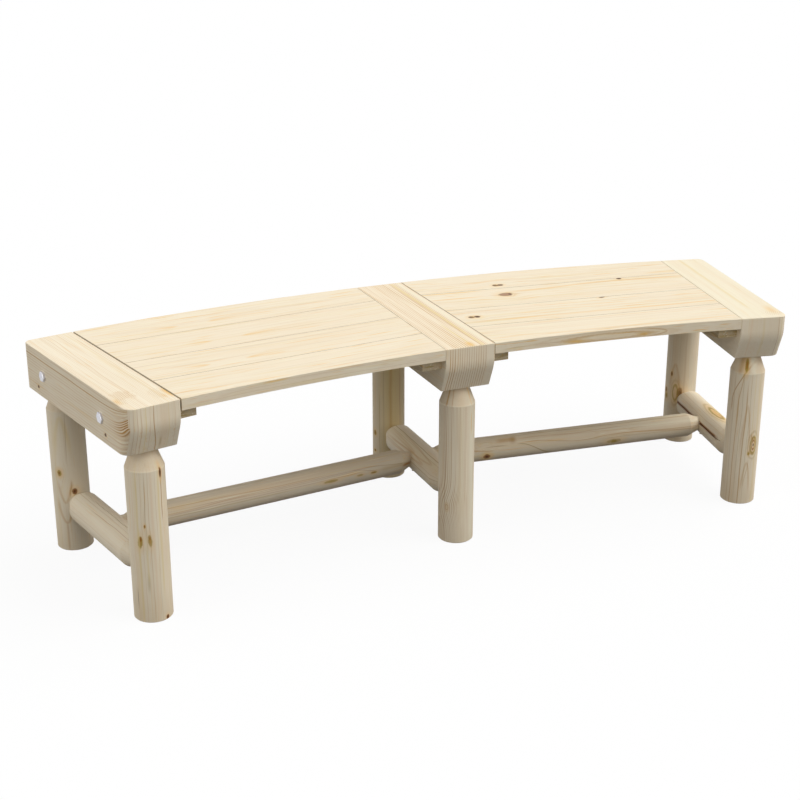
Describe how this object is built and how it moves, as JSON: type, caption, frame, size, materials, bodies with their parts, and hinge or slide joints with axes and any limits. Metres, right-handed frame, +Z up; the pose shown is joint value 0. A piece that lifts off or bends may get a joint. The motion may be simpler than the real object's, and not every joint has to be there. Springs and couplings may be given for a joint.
{
  "type": "curved log bench",
  "caption": "Low curved bench of peeled logs: squared beams on round tenoned legs carry sections of seat boards, with round stretchers and rails near the floor.",
  "frame": {"origin": "on the ground, at the middle of the bench's length and depth", "axes": "+X towards the right end as seen from the front, +Y towards the back (the convex side), +Z up"},
  "size_m": [1.5718, 0.5435, 0.43],
  "materials": {
    "beam_wood": "planed softwood, sealed, with fine grain and a few knots",
    "log_wood": "peeled and turned softwood log, sealed, with knots and drying cracks",
    "board_wood": "sanded pale softwood board with straight grain and small knots",
    "cleat_wood": "planed softwood",
    "pin_wood": "dry hardwood dowel, cut flush",
    "zinc_steel": "bright zinc plate, slightly dulled"
  },
  "bodies": {
    "root": {"beam_left": "beam_wood", "leg_left_front": "log_wood", "leg_left_back": "log_wood", "stretcher_left": "log_wood", "beam_middle": "beam_wood", "leg_middle_front": "log_wood", "leg_middle_back": "log_wood", "stretcher_middle": "log_wood", "beam_right": "beam_wood", "leg_right_front": "log_wood", "leg_right_back": "log_wood", "stretcher_right": "log_wood", "rail_left": "log_wood", "seat_left_board_1": "board_wood", "seat_left_board_2": "board_wood", "seat_left_board_3": "board_wood", "seat_left_board_4": "board_wood", "rail_right": "log_wood", "seat_right_board_1": "board_wood", "seat_right_board_2": "board_wood", "seat_right_board_3": "board_wood", "seat_right_board_4": "board_wood", "cleat_left": "cleat_wood", "cleat_middle_left": "cleat_wood", "cleat_middle_right": "cleat_wood", "cleat_right": "cleat_wood", "end_bolts_left": "zinc_steel", "middle_bolts": "zinc_steel", "end_bolts_right": "zinc_steel", "bolt_nuts": "zinc_steel", "bolt_washers": "zinc_steel", "board_screws": "zinc_steel", "leg_tenon_pins": "pin_wood", "stretcher_tenon_pins": "pin_wood", "rail_tenon_pins": "pin_wood"}
  },
  "joints": []
}
